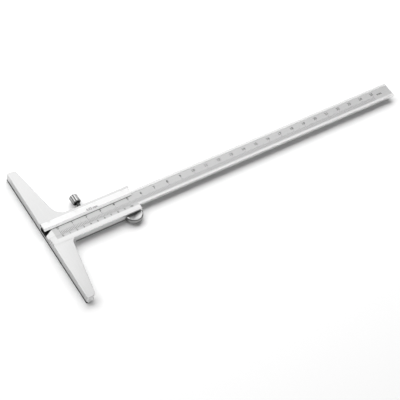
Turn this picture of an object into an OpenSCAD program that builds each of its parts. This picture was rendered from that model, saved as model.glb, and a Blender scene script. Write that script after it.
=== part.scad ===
// Vernier depth gauge: a T-shaped frame carries a sliding graduated beam.
// X runs along the beam, Y along the bridge, Z up from the face it lies on.
// The origin is on the plane of the measuring face, under the beam's centre line.

/* [Bridge] */
// Length of the measuring bridge, along Y
bridge_len = 100; // [80:1:150]
// Thickness of the bridge and of the slider
frame_t = 6.4; // [6:0.1:8]
// Width of each arm at its outer end
arm_end_w = 5.8; // [5:0.1:8]
// Taper of the outer edge of each arm, in degrees
arm_taper = 9.8; // [6:0.2:12]
// Rounding of the outer corner of each arm
arm_end_r = 3.2; // [1:0.1:4]
// Corner break at the ends of the measuring face
face_break = 0.5; // [0.2:0.1:1]
// Fillet between the slider and the arm on the lock screw's side
fillet_far = 9; // [5:0.5:10]
// Fillet between the slider and the arm on the thumb rest's side
fillet_near = 4; // [3:0.5:8]

/* [Slider] */
// Length of the slider, from the measuring face
slider_len = 63.5; // [62:0.5:75]
// Width of the slider
slider_w = 18.8; // [18:0.2:22]
// Thickness of the floor under the beam
floor_t = 2.75; // [2:0.05:3]

/* [Beam] */
// Length of the graduated beam
beam_len = 274; // [270:1:290]
// Width of the beam
beam_w = 11; // [10:0.5:12]
// Thickness of the beam over its rails
beam_t = 2.4; // [2:0.1:2.6]
// Measuring depth
depth_range = 200; // [150:10:200]
// Width of the two raised rails
rail_w = 1.6; // [1:0.1:2.5]
// Depth of the graduated face below the rails
recess_d = 0.15; // [0.1:0.05:0.4]
// Width of the measuring end of the tip
tip_w = 5.1; // [3:0.1:7]
// Length of the slanted edge of the tip, along X
tip_slant = 11.2; // [6:0.1:14]
// Corner break on the short side of the tip
tip_break = 0.8; // [0.3:0.1:1.2]
// Start of the graduated face, from the tip
recess_start = 5; // [4:0.5:10]
// Running clearance on each side of the beam
slide_gap = 0.05; // [0.02:0.01:0.1]

/* [Guide plates] */
// Near edge of the guide strip, from the beam's centre line
strip_y0 = 2.6; // [2:0.1:3.5]
// Far edge of the guide strip
strip_y1 = 7.9; // [7.4:0.1:8.2]
// Height of the guide strip above the frame
strip_proud = 0.1; // [0:0.05:0.3]
// Chamfer along the near edge of the guide strip
strip_chamfer = 1; // [0.3:0.1:1.1]
// Reading edge of the vernier plate, from the beam's centre line
vernier_edge = 3; // [2.5:0.1:3.5]
// Width of the vernier plate's bevel
bevel_w = 3.1; // [2:0.1:3.4]
// Thickness left at the reading edge
bevel_lip = 0.2; // [0.1:0.05:0.4]
// Start of the bevel, from the measuring face
bevel_start = 4.5; // [3:0.5:8]
// How far both plates stand back from the measuring face
plate_setback = 0.6; // [0.3:0.1:1]

/* [Thumb rest] */
// Radius of the round thumb rest
rest_r = 6.1; // [5:0.1:7]
// Radius of its dished top
dish_r = 5; // [3.5:0.1:5]
// Depth of the dish at its centre
dish_d = 0.9; // [0.5:0.1:1.2]
// Underside of the thumb rest
rest_z0 = 0.6; // [0.3:0.1:1.5]
// Top of its rim
rest_z1 = 4.5; // [3.5:0.1:5]
// Rounding of the rim
rim_r = 1; // [0.5:0.1:1.5]

/* [Lock screw] */
// Distance of the screw from the measuring face
lock_x = 29.5; // [26:0.5:34]
// Diameter of the knurled head
head_d = 5.6; // [5:0.1:6]
// Length of the knurled head
head_len = 5.6; // [4:0.1:8]
// Gap between the slider and the head
neck_len = 3.7; // [1:0.1:5]
// Diameter of the screw
lock_d = 2.4; // [2:0.1:2.4]
// Number of ribs round the head
rib_count = 10; // [8:1:24]

/* [Small parts] */
// Thickness of the gib strip
gib_t = 0.5; // [0.3:0.05:0.6]
// Diameter of the gib screws
gib_screw_d = 2; // [1.6:0.1:2]
// Diameter of the rivets in the guide strip
rivet_d = 1.2; // [1:0.1:1.2]
// Diameter of the vernier plate's screws
plate_screw_d = 1.6; // [1.4:0.1:1.7]
// Diameter of the head of the beam's stop stud
stop_d = 2.6; // [2:0.1:3]

/* [Hidden] */
$fn = 64;

eps = 0.01;                               // overlap that keeps two solids joined
cut = 5;                                  // how far a cutter runs past the faces it opens
half_len = bridge_len / 2;
half_w = slider_w / 2;
half_beam = beam_w / 2;
beam_z0 = floor_t + slide_gap;
beam_z1 = beam_z0 + beam_t;
ledge_z = beam_z1 + slide_gap;            // seat of the guide strip and the vernier plate
wall_y = half_beam + slide_gap;           // channel wall on the thumb rest's side
gib_y0 = half_beam + slide_gap;
gib_y1 = gib_y0 + gib_t;
gib_play = 0.15;                          // room behind the gib for its adjustment
gib_wall_y = gib_y1 + gib_play;           // channel wall on the lock screw's side
fit_gap = 0.02;                           // clearance of a screw or plate in its seat

lock_z = (beam_z0 + beam_z1) / 2 - 0.1;   // height of the lock screw and the gib screws
lock_tip_y = gib_y1 + slide_gap;
head_y0 = half_w + neck_len;
rib_r = 0.45;                             // radius of the grooves between the ribs
head_chamfer = 0.4;
cup_r = 1.9;                              // hollow round the shaft under the head
cup_len = 1.2;

gib_x = [3.5, 60];                        // ends of the gib strip
gib_margin = 0.1;                         // gib below the ledge and above the floor
gib_screw_x = [19, 50];
gib_screw_z = lock_z;
press_len = 1.6;                          // length of a pressing screw
lock_len = 1.3;                           // length of the locking screw behind it
slot_w = 0.45;                            // screwdriver slots
slot_d = 0.4;

rivet_y = (gib_wall_y + strip_y1) / 2;
rivet_x = [6, 24.5, 38, 58.5];
rivet_z0 = 1.6;
strip_end = slider_len - 0.7;
strip_z = frame_t + strip_proud;

plate_screw_x = [8, 27, 46];
plate_screw_y = -7.4;
plate_end = slider_len - 0.3;
head_r = 1.4;                             // countersunk heads under the frame
head_t = 0.8;
head_z0 = 0.2;
tap_depth = 0.75;
screw_room = 0.1;                         // clearance round the plate screws

rest_x = slider_len - rest_r;
rest_y = -half_w + 0.1;
rest_wall = 0.9;                          // wall left between the dish and the channel
rest_sweep = rest_r + 0.15;               // clearing above the rim
stop_x = slider_len + depth_range + stop_d / 2 + slide_gap;
stop_stem_d = 1.8;
stop_stem_len = 1.4;
stop_z0 = 0.15;

// x of an arm's outer edge at distance y from the beam's centre line
function arm_x(y) = arm_end_w + (half_len - y) * tan(arm_taper);

// Circle that touches an arm's outer edge and the line at distance y0;
// side is 1 for the hollow side of the corner and -1 for the solid side
function blend_centre(y0, r, side) =
    let (yc = y0 + side * r) [arm_x(yc) + side * r / cos(arm_taper), yc];
function on_arm(c, r, side) = c - side * r * [cos(arm_taper), sin(arm_taper)];

// Half of the bridge, for y from 0 to half_len
module arm_outline() {
    c = blend_centre(half_len, arm_end_r, -1);
    t = on_arm(c, arm_end_r, -1);
    difference() {
        polygon([[0, -eps], [0, half_len - face_break], [face_break, half_len],
                 [arm_end_w, half_len], [arm_x(0), -eps]]);
        difference() {
            polygon([c, t, [arm_end_w + 1, half_len - 1], [arm_end_w + 1, half_len + 1],
                     [c[0], half_len + 1]]);
            translate(c) circle(arm_end_r);
        }
    }
}

// Web that rounds the corner between an arm and the slider
module fillet_outline(r) {
    c = blend_centre(half_w, r, 1);
    t = on_arm(c, r, 1);
    difference() {
        polygon([[t[0] - 1, half_w - 1], [t[0] - 1, t[1]], t, c, [c[0], half_w],
                 [c[0], half_w - 1]]);
        translate(c) circle(r);
    }
}

module frame_outline() {
    arm_outline();
    mirror([0, 1]) arm_outline();
    translate([0, -half_w]) square([slider_len, slider_w]);
    fillet_outline(fillet_far);
    mirror([0, 1]) fillet_outline(fillet_near);
}

// Round thumb rest with a rounded rim
module thumb_rest() {
    translate([rest_x, rest_y, 0]) rotate_extrude() {
        translate([0, rest_z0]) square([rest_r - rim_r, rest_z1 - rest_z0]);
        translate([0, rest_z0 + rim_r]) square([rest_r, rest_z1 - rest_z0 - 2 * rim_r]);
        for (z = [rest_z0 + rim_r, rest_z1 - rim_r])
            translate([rest_r - rim_r, z]) circle(rim_r);
    }
}

// Turned hollow in the thumb rest, kept clear of the beam's channel
module dish_cut() {
    ball_r = (dish_r * dish_r + dish_d * dish_d) / (2 * dish_d);
    intersection() {
        translate([rest_x, rest_y, 0]) {
            translate([0, 0, rest_z1]) cylinder(r = rest_sweep, h = frame_t);
            translate([0, 0, rest_z1 - dish_d + ball_r]) sphere(ball_r);
        }
        translate([0, -3 * half_w, 0])
            cube([2 * slider_len, 3 * half_w - wall_y - rest_wall, 2 * frame_t]);
    }
}

// Hole along Y from the gib pocket to the outside of the slider
module flank_hole(x, z, d) {
    translate([x, gib_wall_y - eps, z]) rotate([-90, 0, 0]) cylinder(d = d, h = half_w);
}

module bridge_frame() {
    color("silver") difference() {
        union() {
            linear_extrude(frame_t) frame_outline();
            thumb_rest();
        }
        // channel for the beam and the gib
        translate([-cut, -wall_y, floor_t])
            cube([slider_len + 2 * cut, wall_y + gib_wall_y, frame_t]);
        // seats of the guide strip and the vernier plate
        translate([-cut, -half_w, ledge_z])
            cube([slider_len + 2 * cut, half_w + strip_y1 + fit_gap, frame_t]);
        dish_cut();
        flank_hole(lock_x, lock_z, lock_d + 2 * slide_gap);
        for (x = gib_screw_x) flank_hole(x, gib_screw_z, gib_screw_d + 2 * fit_gap);
        for (x = rivet_x) translate([x, rivet_y, rivet_z0])
            cylinder(d = rivet_d + 2 * fit_gap, h = frame_t);
        for (x = plate_screw_x) translate([x, plate_screw_y, 0]) {
            translate([0, 0, -cut]) cylinder(d = plate_screw_d + 2 * screw_room, h = cut + frame_t);
            translate([0, 0, -cut]) cylinder(r = head_r + screw_room, h = cut + head_z0 + head_t);
        }
    }
}

module beam_outline() {
    polygon([[0, -half_beam + tip_break], [0, -half_beam + tip_w], [tip_slant, half_beam],
             [beam_len, half_beam], [beam_len, -half_beam], [tip_break, -half_beam]]);
}

module beam() {
    color("lightgray") difference() {
        translate([0, 0, beam_z0]) linear_extrude(beam_t) beam_outline();
        translate([recess_start, -half_beam + rail_w, beam_z1 - recess_d])
            cube([beam_len, beam_w - 2 * rail_w, cut]);
        translate([stop_x, 0, beam_z0 - eps])
            cylinder(d = stop_stem_d + 2 * fit_gap, h = stop_stem_len + eps);
    }
}

// Stud under the far end of the beam that meets the slider at full depth
module beam_stop_stud() {
    color("gray") translate([stop_x, 0, 0]) {
        translate([0, 0, stop_z0]) cylinder(d = stop_d, h = beam_z0 - stop_z0);
        translate([0, 0, beam_z0 - eps]) cylinder(d = stop_stem_d, h = stop_stem_len - fit_gap);
    }
}

module guide_strip() {
    color("whitesmoke") difference() {
        translate([plate_setback, 0, 0]) rotate([90, 0, 90])
            linear_extrude(strip_end - plate_setback)
                polygon([[strip_y0, ledge_z], [strip_y1, ledge_z], [strip_y1, strip_z],
                         [strip_y0 + strip_chamfer, strip_z],
                         [strip_y0, strip_z - strip_chamfer]]);
        for (x = rivet_x) translate([x, rivet_y, 0])
            cylinder(d = rivet_d + 2 * fit_gap, h = 2 * frame_t);
    }
}

// Rivets ground flush with the guide strip
module guide_strip_rivets() {
    color("lightgray") for (x = rivet_x) translate([x, rivet_y, rivet_z0])
        cylinder(d = rivet_d, h = strip_z - rivet_z0);
}

module vernier_plate() {
    color("whitesmoke") difference() {
        translate([plate_setback, -half_w + fit_gap, ledge_z])
            cube([plate_end - plate_setback, half_w - vernier_edge - fit_gap,
                  frame_t - ledge_z]);
        // reading bevel
        translate([bevel_start, 0, 0]) rotate([90, 0, 90]) linear_extrude(slider_len)
            polygon([[-vernier_edge - bevel_w, frame_t],
                     [-vernier_edge, ledge_z + bevel_lip],
                     [-vernier_edge + cut, ledge_z + bevel_lip],
                     [-vernier_edge + cut, frame_t + cut],
                     [-vernier_edge - bevel_w, frame_t + cut]]);
        for (x = plate_screw_x) translate([x, plate_screw_y, ledge_z - eps])
            cylinder(d = plate_screw_d + 2 * fit_gap, h = tap_depth);
    }
}

module plate_screw() {
    difference() {
        union() {
            translate([0, 0, head_z0]) cylinder(r = head_r, h = head_t);
            translate([0, 0, head_z0])
                cylinder(d = plate_screw_d, h = ledge_z + tap_depth - 0.1 - head_z0);
        }
        translate([-cut, -slot_w / 2, head_z0 - cut]) cube([2 * cut, slot_w, cut + slot_d]);
    }
}

// Screws that hold the vernier plate from under the frame
module vernier_plate_screws() {
    color("dimgray") for (x = plate_screw_x) translate([x, plate_screw_y, 0]) plate_screw();
}

// Thin spring strip between the beam's edge and the screws
module gib_strip() {
    color("goldenrod") translate([gib_x[0], gib_y0, floor_t + gib_margin])
        cube([gib_x[1] - gib_x[0], gib_t, ledge_z - floor_t - 2 * gib_margin]);
}

// Slotted headless screw along +Y, starting at y
module grub_screw(x, y, len) {
    translate([x, y, gib_screw_z]) difference() {
        rotate([-90, 0, 0]) cylinder(d = gib_screw_d, h = len);
        translate([-gib_screw_d, len - slot_d, -slot_w / 2])
            cube([2 * gib_screw_d, cut, slot_w]);
    }
}

module gib_pressing_screws() {
    color("dimgray") for (x = gib_screw_x) grub_screw(x, gib_y1, press_len);
}

module gib_locking_screws() {
    color("dimgray") for (x = gib_screw_x) grub_screw(x, gib_y1 + press_len, lock_len);
}

// Ribbed outline of the lock screw's head
module head_outline() {
    difference() {
        circle(d = head_d);
        for (i = [0 : rib_count - 1]) rotate(i * 360 / rib_count)
            translate([head_d / 2 + 0.05, 0]) circle(rib_r);
    }
}

// Full outline of the head along its axis, chamfered at both ends
module head_blank() {
    rotate([-90, 0, 0]) rotate_extrude()
        polygon([[0, 0], [head_d / 2 - head_chamfer, 0], [head_d / 2, head_chamfer],
                 [head_d / 2, head_len - head_chamfer],
                 [head_d / 2 - head_chamfer, head_len], [0, head_len]]);
}

module lock_screw() {
    color("gray") translate([lock_x, 0, lock_z]) {
        translate([0, lock_tip_y, 0]) rotate([-90, 0, 0])
            cylinder(d = lock_d, h = head_y0 + cup_len - lock_tip_y + eps);
        difference() {
            intersection() {
                translate([0, head_y0, 0]) rotate([-90, 0, 0]) linear_extrude(head_len)
                    head_outline();
                translate([0, head_y0, 0]) head_blank();
            }
            translate([0, head_y0 - eps, 0]) rotate([-90, 0, 0])
                cylinder(r = cup_r, h = cup_len + eps);
        }
    }
}

bridge_frame();
beam();
beam_stop_stud();
guide_strip();
guide_strip_rivets();
vernier_plate();
vernier_plate_screws();
gib_strip();
gib_pressing_screws();
gib_locking_screws();
lock_screw();
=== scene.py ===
"""Looks of a vernier depth gauge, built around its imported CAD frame. Units are metres."""

import math

import bmesh
import bpy
from mathutils import Matrix, Vector


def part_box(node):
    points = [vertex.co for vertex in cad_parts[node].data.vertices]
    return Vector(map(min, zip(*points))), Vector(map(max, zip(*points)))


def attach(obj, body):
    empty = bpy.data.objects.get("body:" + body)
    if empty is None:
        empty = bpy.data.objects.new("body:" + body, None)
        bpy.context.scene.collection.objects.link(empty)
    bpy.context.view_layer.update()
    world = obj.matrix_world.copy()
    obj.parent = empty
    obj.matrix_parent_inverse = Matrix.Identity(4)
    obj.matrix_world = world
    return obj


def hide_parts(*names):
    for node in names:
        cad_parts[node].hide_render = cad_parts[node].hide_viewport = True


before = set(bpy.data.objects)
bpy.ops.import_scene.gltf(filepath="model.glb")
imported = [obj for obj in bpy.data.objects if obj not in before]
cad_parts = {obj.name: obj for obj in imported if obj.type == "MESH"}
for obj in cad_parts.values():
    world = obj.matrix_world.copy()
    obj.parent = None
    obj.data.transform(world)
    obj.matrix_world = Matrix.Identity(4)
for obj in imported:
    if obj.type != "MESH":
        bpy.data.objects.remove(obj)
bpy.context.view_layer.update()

MM = 0.001
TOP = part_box("bridge_frame")[1].z                # top of the frame and the vernier plate
SLIDER_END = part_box("bridge_frame")[1].x
STRIP_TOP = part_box("guide_strip")[1].z
BEAM_LOW, BEAM_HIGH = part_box("beam")
PLATE_LOW, PLATE_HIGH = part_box("vernier_plate")
CHANNEL_LOW, CHANNEL_HIGH = BEAM_LOW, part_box("gib_strip")[1]
RECESS_DEPTH = 0.15 * MM
RECESS_Z = BEAM_HIGH.z - RECESS_DEPTH            # the graduated face, below the rails
SCALE_ZERO = 9 * MM                              # the first line, from the measuring face
LINE_H = 0.015 * MM                              # how far the filled lines stand proud
SAME_POINT = 1e-7                                # closer than this, two points are one
SKIN = 0.01 * MM                                 # closer than this to a plane, a point is on it
NEAR = 0.1 * MM                                  # a looser reach, round a plane or the thumb rest
SQUARELY, MAINLY, BARELY = 0.9, 0.5, 0.3         # cosines between a face's normal and an axis
NOISE_SPAN = (0.3, 0.7)                          # where most of a noise texture's values lie


# ---------------------------------------------------------------- materials

def link(tree, a, out, b, socket):
    tree.links.new(a.outputs[out], b.inputs[socket])


def stretched(tree, scale):
    """Object coordinates, scaled so that noise becomes grain along one axis."""
    coord = tree.nodes.new("ShaderNodeTexCoord")
    mapping = tree.nodes.new("ShaderNodeMapping")
    mapping.inputs["Scale"].default_value = scale
    link(tree, coord, "Object", mapping, "Vector")
    return mapping


def noise(tree, coords, scale, detail, rough):
    node = tree.nodes.new("ShaderNodeTexNoise")
    node.inputs["Scale"].default_value = scale
    node.inputs["Detail"].default_value = detail
    node.inputs["Roughness"].default_value = rough
    link(tree, coords, "Vector", node, "Vector")
    return node


def map_range(tree, source, out, new_lo, new_hi):
    """Spreads the values that a noise mostly takes over a new range."""
    node = tree.nodes.new("ShaderNodeMapRange")
    lo, hi = NOISE_SPAN
    for name, value in (("From Min", lo), ("From Max", hi), ("To Min", new_lo), ("To Max", new_hi)):
        node.inputs[name].default_value = value
    link(tree, source, out, node, "Value")
    return node


def blended(tree, a, b, factor):
    node = tree.nodes.new("ShaderNodeMix")
    node.data_type = "FLOAT"
    node.inputs["Factor"].default_value = factor
    link(tree, a, "Fac", node, "A")
    link(tree, b, "Fac", node, "B")
    return node


def steel(name, tone, rough, grain=(1, 1, 1), spread=0.03, gloss=0.06, metallic=1.0,
          tint=(1.0, 1.0, 1.0)):
    """Worked metal: directional grain over broad mottling, in tone, gloss and relief.

    Its tone and roughness vary by spread and gloss to either side."""
    even, fine, broad, cloudiness = (1, 1, 1), 3000.0, 60.0, 0.4
    relief, deepest = 0.1, 0.01 * MM
    mat = bpy.data.materials.new(name)
    mat.use_nodes = True
    tree = mat.node_tree
    bsdf = tree.nodes["Principled BSDF"]
    bsdf.inputs["Metallic"].default_value = metallic
    grains = noise(tree, stretched(tree, grain), fine, detail=4.0, rough=0.65)
    clouds = noise(tree, stretched(tree, even), broad, detail=3.0, rough=0.5)
    mixed = blended(tree, grains, clouds, cloudiness)
    ramp = tree.nodes.new("ShaderNodeValToRGB")
    link(tree, mixed, "Result", ramp, "Fac")
    for element, place, level in zip(ramp.color_ramp.elements, NOISE_SPAN, (-spread, spread)):
        element.position = place
        element.color = (*[(tone + level) * t for t in tint], 1.0)
    link(tree, ramp, "Color", bsdf, "Base Color")
    link(tree, map_range(tree, mixed, "Result", rough - gloss, rough + gloss), "Result",
         bsdf, "Roughness")
    bump = tree.nodes.new("ShaderNodeBump")
    bump.inputs["Strength"].default_value = relief
    bump.inputs["Distance"].default_value = deepest
    link(tree, grains, "Fac", bump, "Height")
    link(tree, bump, "Normal", bsdf, "Normal")
    return mat


def turned(mat, amount):
    """Makes a metal's highlights run across its turning marks, which follow the UV map."""
    tree = mat.node_tree
    tangent = tree.nodes.new("ShaderNodeTangent")
    tangent.direction_type = "UV_MAP"
    tangent.uv_map = "turning"
    bsdf = tree.nodes["Principled BSDF"]
    bsdf.inputs["Anisotropic"].default_value = amount
    link(tree, tangent, "Tangent", bsdf, "Tangent")
    return mat


ALONG_X = (0.03, 1, 1)
ALONG_Y = (1, 0.03, 1)
MATERIALS = {                                    # each one's tone, roughness and run of grain
    "arms": steel("ground_arms", 0.36, 0.38, ALONG_Y, metallic=0.5),
    "face": steel("lapped_face", 0.50, 0.22, ALONG_Y, gloss=0.03),
    # a milled finish, more diffuse than the tops, whose much lighter tone is also painted light on
    # the walls
    "sides": steel("milled_sides_painted_light", 0.71, 0.36, ALONG_X, metallic=0.2),
    # painted shadow: a near-black band along the foot of the measuring face, standing in for the
    # contact shadow at the floor
    "foot": steel("painted_foot_shadow", 0.03, 0.85, ALONG_Y, spread=0.015),
    # painted light: a near-white tone that lifts the shade on the guide strip's -Y wall and chamfer
    # and on the beam's -Y side
    "edge": steel("painted_light_edge", 0.92, 0.3, ALONG_X, metallic=0.6),
    # painted shade: darkens the grooves between the lock screw's ribs
    "groove": steel("rib_groove_painted_shade", 0.10, 0.4, spread=0.015),
    # painted shade: the beam's channel inside the slider is painted near black where shade falls
    "channel": steel("channel_painted_shade", 0.05, 0.5, ALONG_X, spread=0.02),
    "beam": steel("beam_satin", 0.325, 0.38, ALONG_X, metallic=0.3),
    "rails": steel("beam_rails", 0.43, 0.32, ALONG_X, metallic=0.3),
    "strip": steel("strip_satin", 0.55, 0.45, metallic=0.35, spread=0.015),
    "bevel": steel("reading_bevel", 0.29, 0.42, ALONG_X, metallic=0.5, spread=0.02),
    "dish": turned(steel("turned_dish", 0.36, 0.25, spread=0.05, metallic=0.35), 0.8),
    "rest": steel("thumb_rest_steel", 0.33, 0.28),
    "screw": steel("turned_screw", 0.26, 0.25, spread=0.04),
    # real black oxide on the small screws; on the lock screw it is painted shade on the shaft and in
    # the hollow under the head
    "black": steel("black_oxide_and_painted_shade", 0.05, 0.42, spread=0.015),
    "bronze": steel("gib_bronze", 0.62, 0.34, ALONG_X, tint=(1.0, 0.76, 0.45)),
    "ink": steel("line_filling", 0.06, 0.6, spread=0.02, metallic=0.0),
}


# ------------------------------------------------------------------- meshes

def link_object(name, mesh):
    obj = bpy.data.objects.new(name, mesh)
    bpy.context.scene.collection.objects.link(obj)
    return obj


def mesh_object(name, bm):
    mesh = bpy.data.meshes.new(name)
    bm.normal_update()
    bm.to_mesh(mesh)
    bm.free()
    return link_object(name, mesh)


def shade(obj, angle=35.0):
    """Smooth shading that stays crisp at the real edges."""
    for poly in obj.data.polygons:
        poly.use_smooth = True
    obj.data.set_sharp_from_angle(angle=math.radians(angle))
    normals = obj.modifiers.new("normals", "WEIGHTED_NORMAL")
    normals.keep_sharp = True
    return obj


def finish_piece(obj, body, slot, *names):
    """Gives a piece its materials, the first one everywhere, and its body. Its slot is not used."""
    for name in names:
        obj.data.materials.append(MATERIALS[name])
    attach(obj, body)
    return obj


def refined(node, name, width, wanted=None, angle=28.0, segments=3, split_z=None):
    """A clean copy of a CAD node with its outer edges rounded, which stands for it.

    With split_z its faces are also parted at that height, so that a band can be painted."""
    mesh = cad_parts[node].data.copy()
    mesh.materials.clear()
    weld, flat_angle = 0.012 * MM, math.radians(1.0)
    bm = bmesh.new()
    bm.from_mesh(mesh)
    bmesh.ops.remove_doubles(bm, verts=bm.verts, dist=weld)
    bmesh.ops.dissolve_degenerate(bm, edges=bm.edges, dist=weld)
    bmesh.ops.dissolve_limit(bm, angle_limit=flat_angle, verts=bm.verts, edges=bm.edges)
    sharp = [e for e in bm.edges if e.is_manifold and e.calc_face_angle(0) > math.radians(angle)
             and (wanted is None or wanted(e))]
    bmesh.ops.bevel(bm, geom=sharp, offset=width, offset_type="OFFSET", segments=segments,
                    profile=0.5, affect="EDGES", clamp_overlap=False)
    if split_z is not None:
        bmesh.ops.bisect_plane(bm, geom=bm.verts[:] + bm.edges[:] + bm.faces[:], dist=SAME_POINT,
                               plane_co=(0, 0, split_z), plane_no=(0, 0, 1))
    bm.to_mesh(mesh)
    bm.free()
    obj = shade(link_object(name, mesh))
    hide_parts(node)
    return obj


def paint_faces(obj, name, wanted):
    """Gives the wanted faces one of the materials that finish_piece gave the piece."""
    index = obj.data.materials.find(MATERIALS[name].name)
    for poly in obj.data.polygons:
        if wanted(poly):
            poly.material_index = index


def is_wall(poly):
    return abs(poly.normal.z) < BARELY


def faces_lock_screw(poly):
    """Faces +Y, the side that the lock screw is on."""
    return poly.normal.y >= MAINLY


def faces_thumb_rest(poly):
    """Faces -Y, the side that the thumb rest is on."""
    return poly.normal.y < -MAINLY


def lowest(edge, axis=2):
    """The lower of an edge's two ends along an axis: 0 is X and 2 is Z."""
    return min(v.co[axis] for v in edge.verts)


def highest(edge):
    return max(v.co.z for v in edge.verts)


def add_box(bm, x0, x1, y0, y1, place):
    """A thin closed slab from x0 to x1 and y0 to y1, standing on the surface place gives."""
    v = [bm.verts.new(place(x, y, z))
         for z in (-LINE_H, LINE_H) for y in (y0, y1) for x in (x0, x1)]
    for quad in ((0, 2, 3, 1), (4, 5, 7, 6), (0, 1, 5, 4), (2, 6, 7, 3), (0, 4, 6, 2), (1, 3, 7, 5)):
        bm.faces.new([v[i] for i in quad])


# ----------------------------------------------------------------- the frame

# below this height the measuring face is painted near black as its contact shadow
FOOT_Z = 1.7 * MM                                # top of the dark band along the foot
REST_R, REST_IN = 6.1 * MM, 0.08 * MM            # its radius, and its axis from the plate's edge
REST = Vector((SLIDER_END - REST_R, PLATE_LOW.y + REST_IN, 0))   # the thumb rest's axis


def near_rest(point, room=1.2 * MM):
    """Within that much room of the thumb rest's round outline, seen from above."""
    return (Vector((point.x, point.y, 0)) - REST).length < REST_R + room


def outline_edge(edge):
    """Edges of the frame's top and bottom outline, not those of the seats or the thumb rest."""
    a, b = (v.co for v in edge.verts)
    strip_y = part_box("guide_strip")[1].y
    level = all(p.z > TOP - SKIN or p.z < SKIN for p in (a, b))
    at_plate = all(abs(p.y - PLATE_LOW.y) < NEAR and p.z > SKIN for p in (a, b))
    at_strip = all(abs(p.y - strip_y) < NEAR for p in (a, b))
    return level and not (at_plate or at_strip or near_rest((a + b) / 2))


def in_channel(poly):
    """A face of the beam's channel: its floor, or a wall that runs along the beam."""
    c = poly.center
    room_below, room_near, room_far = 0.3 * MM, 0.6 * MM, 0.3 * MM
    deep = CHANNEL_LOW.z - room_below < c.z < PLATE_LOW.z
    across = CHANNEL_LOW.y - room_near < c.y < CHANNEL_HIGH.y + room_far
    return deep and across and abs(poly.normal.x) < MAINLY


def make_bridge():
    rounding, foot_reach = 0.22 * MM, 0.6 * MM
    bridge = refined("bridge_frame", "bridge_body", rounding, outline_edge, split_z=FOOT_Z)
    finish_piece(bridge, "frame", "ground_steel", "arms", "face", "sides", "rest", "channel",
                 "foot")
    paint_faces(bridge, "face", lambda p: p.normal.x < -SQUARELY and p.center.x < NEAR)
    # painted light: the frame's walls, except those facing +Y, get the lighter side tone
    paint_faces(bridge, "sides", lambda p: is_wall(p) and p.center.x > NEAR
                and not faces_lock_screw(p))
    paint_faces(bridge, "rest", lambda p: near_rest(p.center, NEAR)
                and p.center.y < PLATE_LOW.y + NEAR)
    # painted shade: the channel's floor and walls are painted near black
    paint_faces(bridge, "channel", in_channel)
    # painted shadow: the lowest band of the measuring face is painted near black
    paint_faces(bridge, "foot", lambda p: p.normal.x < -BARELY and p.center.z < FOOT_Z
                and p.center.x < foot_reach)


def make_plates():
    strip_rounding, plate_rounding, least_lean = 0.1 * MM, 0.08 * MM, 0.1
    strip = refined("guide_strip", "guide_strip_body", strip_rounding,
                    lambda e: lowest(e) > STRIP_TOP - SKIN)
    finish_piece(strip, "frame", "plate_steel", "strip", "sides", "edge")
    # painted light: the strip's walls, except those facing +Y, get the lighter side tone
    paint_faces(strip, "sides", lambda p: is_wall(p) and not faces_lock_screw(p))
    # painted light: the strip's -Y wall and chamfer are given the near-white tone
    paint_faces(strip, "edge", faces_thumb_rest)
    plate = refined("vernier_plate", "vernier_plate_body", plate_rounding,
                    lambda e: lowest(e, axis=0) > PLATE_HIGH.x - SKIN)
    finish_piece(plate, "frame", "plate_steel", "arms", "bevel", "sides")
    paint_faces(plate, "bevel", lambda p: p.normal.y > least_lean and p.normal.z > BARELY)
    # painted light: the vernier plate's walls get the lighter side tone
    paint_faces(plate, "sides", is_wall)


def dish_rings(bm, radius, depth, rings, steps):
    """Rings of points on the dished face, every second one a little proud, like turning marks."""
    rim_z, lift, mark_height = 4.5 * MM, 0.03 * MM, 0.012 * MM
    hub = 0.15                                   # the innermost ring's radius, in ring steps
    grid = []
    for i in range(rings + 1):
        r = radius * max(i, hub) / rings
        z = rim_z - depth * (1 - (r / radius) ** 2) + lift + mark_height * (i % 2)
        grid.append([bm.verts.new((REST.x + r * math.cos(a), REST.y + r * math.sin(a), z))
                     for a in (2 * math.pi * k / steps for k in range(steps))])
    return grid


def make_dish():
    """Turned hollow of the thumb rest, whose UV map runs round its axis."""
    radius, depth, rings, steps = 5.0 * MM, 0.9 * MM, 34, 96
    cut_y = PLATE_LOW.y + 2.9 * MM               # the wall beside the channel ends the hollow
    bm = bmesh.new()
    uv = bm.loops.layers.uv.new("turning")
    grid = dish_rings(bm, radius, depth, rings, steps)
    for i in range(rings):
        for k in range(steps):
            n = (k + 1) % steps
            face = bm.faces.new((grid[i][k], grid[i + 1][k], grid[i + 1][n], grid[i][n]))
            for loop, (u, v) in zip(face.loops, ((k, i), (k, i + 1), (k + 1, i + 1), (k + 1, i))):
                loop[uv].uv = (u / steps, v / rings)
    bmesh.ops.bisect_plane(bm, geom=bm.verts[:] + bm.edges[:] + bm.faces[:],
                           plane_co=(0, cut_y, 0), plane_no=(0, 1, 0), clear_outer=True)
    dish = shade(mesh_object("thumb_rest_dish", bm), angle=60)
    finish_piece(dish, "frame", "ground_steel", "dish")


# ------------------------------------------------------------------ the beam

def make_beam():
    beam_rounding, stud_rounding, clear = 0.1 * MM, 0.15 * MM, 0.5 * MM
    beam = refined("beam", "beam_body", beam_rounding,
                   lambda e: lowest(e) > BEAM_LOW.z + clear or highest(e) < BEAM_LOW.z + SKIN)
    finish_piece(beam, "beam", "beam_steel", "rails", "beam", "edge")
    paint_faces(beam, "beam", lambda p: p.normal.z > SQUARELY
                and abs(p.center.z - RECESS_Z) < RECESS_DEPTH / 3)
    # painted light: the beam's -Y side is given the near-white tone
    paint_faces(beam, "edge", faces_thumb_rest)
    stud = refined("beam_stop_stud", "stop_stud_body", stud_rounding,
                   lambda e: highest(e) < BEAM_LOW.z - clear)
    finish_piece(stud, "beam", "turned_steel", "screw")


# --------------------------------------------------------- lines and numerals

def on_beam(x, y, z):
    return (x, y, RECESS_Z + z)


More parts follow.
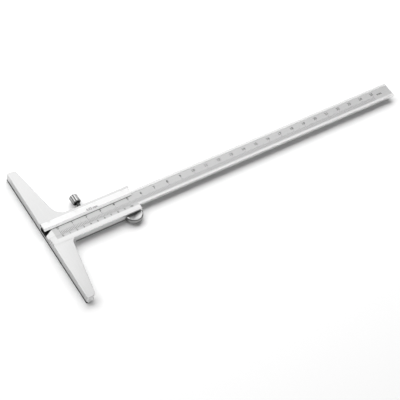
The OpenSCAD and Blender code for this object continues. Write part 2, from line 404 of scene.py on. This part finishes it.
BEVEL_WIDTH, BEVEL_LIP = 3.1 * MM, 0.2 * MM      # the lip is the edge left under the bevel
BEVEL_Y0, BEVEL_Y1 = PLATE_HIGH.y - BEVEL_WIDTH, PLATE_HIGH.y
BEVEL_SLOPE = math.atan2(TOP - (PLATE_LOW.z + BEVEL_LIP), BEVEL_Y1 - BEVEL_Y0)


def on_bevel(x, y, z):
    """A point at distance y down the vernier's bevel from its upper edge."""
    s, c = math.sin(BEVEL_SLOPE), math.cos(BEVEL_SLOPE)
    return (x, BEVEL_Y0 + y * c + z * s, TOP - y * s + z * c)


def on_strip(x, y, z):
    return (x, y, STRIP_TOP + z)


def ruled(name, lines, width, place, body, slot):
    """Filled lines, each at its x from y0 to y1, on the surface that place gives."""
    bm = bmesh.new()
    for x, y0, y1 in lines:
        add_box(bm, x - width / 2, x + width / 2, y0, y1, place)
    return finish_piece(mesh_object(name, bm), body, slot, "ink")


def flat_text(text, height):
    """The filled outlines of some characters, centred on the origin, as a mesh."""
    capital_height, boldness = 0.7, 0.03          # parts of the font's size and of the height
    curve = bpy.data.curves.new("draft", "FONT")
    curve.body = text
    curve.size = height / capital_height
    curve.align_x = "CENTER"
    curve.align_y = "CENTER"
    curve.resolution_u = 3
    curve.offset = boldness * height
    draft = link_object("draft", curve)
    bpy.context.view_layer.update()
    mesh = bpy.data.meshes.new_from_object(
        draft.evaluated_get(bpy.context.evaluated_depsgraph_get()))
    bpy.data.objects.remove(draft)
    return mesh


def numerals(name, labels, height, place, body, slot):
    """Solid characters centred at (x, y) on the surface that place gives."""
    bm = bmesh.new()
    for text, x, y in labels:
        flat = flat_text(text, height)
        flat.transform(Matrix.Translation((x, y, 0)))
        bm.from_mesh(flat)
        bpy.data.meshes.remove(flat)
    bmesh.ops.remove_doubles(bm, verts=bm.verts, dist=SAME_POINT)
    for v in bm.verts:
        v.co.z = -LINE_H
    raised = bmesh.ops.extrude_face_region(bm, geom=bm.faces[:])["geom"]
    for v in (g for g in raised if isinstance(g, bmesh.types.BMVert)):
        v.co.z = LINE_H
    for v in bm.verts:
        v.co = Vector(place(*v.co))
    bmesh.ops.recalc_face_normals(bm, faces=bm.faces)
    return finish_piece(mesh_object(name, bm), body, slot, "ink")


def make_main_scale():
    """A line every millimetre, longer at the fives and tens, and a numeral every ten."""
    last, width, height = 250, 0.17 * MM, 1.9 * MM
    foot, ten, five, one = (y * MM for y in (-3.75, -0.1, -0.6, -1.0))
    lines = []
    for i in range(last + 1):
        top = ten if i % 10 == 0 else five if i % 5 == 0 else one
        lines.append((SCALE_ZERO + i * MM, foot, top))
    ruled("beam_scale_lines", lines, width, on_beam, "beam", "beam_steel")
    row_y = 1.5 * MM
    labels = [(str(n), SCALE_ZERO + 10 * n * MM, row_y) for n in range(last // 10 + 1)]
    numerals("beam_numerals", labels, height, on_beam, "beam", "beam_steel")
    unit = ("mm", 264.5 * MM, -0.2 * MM)
    numerals("beam_unit_mark", [unit], height, on_beam, "beam", "beam_steel")


def make_vernier_scale():
    """Fifty divisions over 49 mm, so one division reads 0.02 mm."""
    divisions, span = 50, 49 * MM
    width, long, short, margin, height = (v * MM for v in (0.16, 1.5, 1.0, 0.03, 1.5))
    edge = (BEVEL_Y1 - BEVEL_Y0) / math.cos(BEVEL_SLOPE)
    lines = []
    for i in range(divisions + 1):
        length = long if i % 5 == 0 else short
        lines.append((SCALE_ZERO + i * span / divisions, edge - length, edge - margin))
    ruled("vernier_lines", lines, width, on_bevel, "frame", "plate_steel")
    row_y = 1.0 * MM
    labels = [(str(n), SCALE_ZERO + n * span / 10, row_y) for n in range(11)]
    numerals("vernier_numerals", labels, height, on_bevel, "frame", "plate_steel")
    resolution = ("0.02 mm", 34.8 * MM, 4.5 * MM)
    numerals("resolution_mark", [resolution], height, on_strip, "frame", "plate_steel")


# ------------------------------------------------------------ screws and gib

def make_lock_screw():
    """The ribbed screw: its grooves, shaft and the hollow under its head are painted dark, as shade.
    """
    rounding, rib_depth, hollow_r, bright_end = 0.06 * MM, 0.22 * MM, 2.0 * MM, 2 * MM
    screw = refined("lock_screw", "lock_screw_body", rounding, angle=40.0, segments=2)
    finish_piece(screw, "lock_screw", "turned_steel", "screw", "black", "groove")
    low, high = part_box("lock_screw")
    x, z = (low.x + high.x) / 2, (low.z + high.z) / 2
    ridge_r = (high.x - low.x) / 2 - rib_depth

    def off_axis(poly):
        return math.hypot(poly.center.x - x, poly.center.z - z)

    # painted shade in the grooves between the ribs
    paint_faces(screw, "groove", lambda p: abs(p.normal.y) < BARELY and off_axis(p) < ridge_r)
    # painted shade on the shaft and in the hollow under the head
    paint_faces(screw, "black", lambda p: off_axis(p) < hollow_r
                and p.center.y < high.y - bright_end)


def make_small_parts():
    """The rivets, small screws and gib strip keep their CAD shapes and only get a finish."""
    for node, slot, mat in (("guide_strip_rivets", "plate_steel", "strip"),
                            ("vernier_plate_screws", "blackened_steel", "black"),
                            ("gib_pressing_screws", "blackened_steel", "black"),
                            ("gib_locking_screws", "blackened_steel", "black"),
                            ("gib_strip", "gib_brass", "bronze")):
        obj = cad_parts[node]
        obj.data.materials.clear()
        obj.data.materials.append(MATERIALS[mat])


# ------------------------------------------------------- stage, light, camera

def make_floor():
    half, albedo = 1.6, 0.94
    bm = bmesh.new()
    bmesh.ops.create_grid(bm, x_segments=1, y_segments=1, size=half)
    floor = mesh_object("floor", bm)
    mat = bpy.data.materials.new("floor_white")
    mat.use_nodes = True
    bsdf = mat.node_tree.nodes["Principled BSDF"]
    bsdf.inputs["Base Color"].default_value = (albedo, albedo, albedo, 1)
    bsdf.inputs["Roughness"].default_value = 0.9
    bsdf.inputs["Specular IOR Level"].default_value = 0.0
    floor.data.materials.append(mat)


def make_world(level):
    world = bpy.data.worlds.new("studio")
    bpy.context.scene.world = world
    world.use_nodes = True
    background = world.node_tree.nodes["Background"]
    background.inputs["Color"].default_value = (1, 1, 1, 1)
    background.inputs["Strength"].default_value = level


def soft_box(name, place, aim, size, energy):
    """A rectangular lamp of the given size in metres and energy in watts."""
    data = bpy.data.lights.new(name, "AREA")
    data.shape = "RECTANGLE"
    data.size, data.size_y = size
    data.energy = energy
    lamp = link_object(name, data)
    lamp.location = place
    lamp.rotation_euler = (Vector(aim) - Vector(place)).to_track_quat("-Z", "Y").to_euler()


def make_camera():
    """The photo's view, fitted to its numerals and edges with the bridge held at 100 mm."""
    target = Vector((103.1, -17.3, 0)) * MM
    distance, lens, sensor = 811 * MM, 114.2, 36.0
    azimuth, elevation, roll = (math.radians(a) for a in (222.42, 53.77, 17.69))
    away = Vector((math.cos(elevation) * math.cos(azimuth),
                   math.cos(elevation) * math.sin(azimuth), math.sin(elevation)))
    level_right = (-away).cross(Vector((0, 0, 1))).normalized()
    level_up = level_right.cross(-away)
    right = math.cos(roll) * level_right + math.sin(roll) * level_up
    up = -math.sin(roll) * level_right + math.cos(roll) * level_up
    data = bpy.data.cameras.new("camera")
    data.lens, data.sensor_width = lens, sensor
    data.clip_start, data.clip_end = 0.01, 20
    camera = link_object("camera", data)
    turn = Matrix((right, up, away)).transposed().to_4x4()
    camera.matrix_world = Matrix.Translation(target + distance * away) @ turn
    bpy.context.scene.camera = camera


make_bridge()
make_plates()
make_dish()
make_beam()
make_main_scale()
make_vernier_scale()
make_lock_screw()
make_small_parts()
make_floor()
make_world(level=0.10)
soft_box("key", place=(0.09, 0.629, 0.777), aim=(0.1, 0, 0), size=(2.2, 0.84), energy=23.5)
soft_box("fill", place=(0.30, -1.5, 0.62), aim=(0.1, 0, 0.02), size=(4.0, 0.8), energy=11.5)
make_camera()
bpy.context.scene.view_settings.view_transform = "Standard"
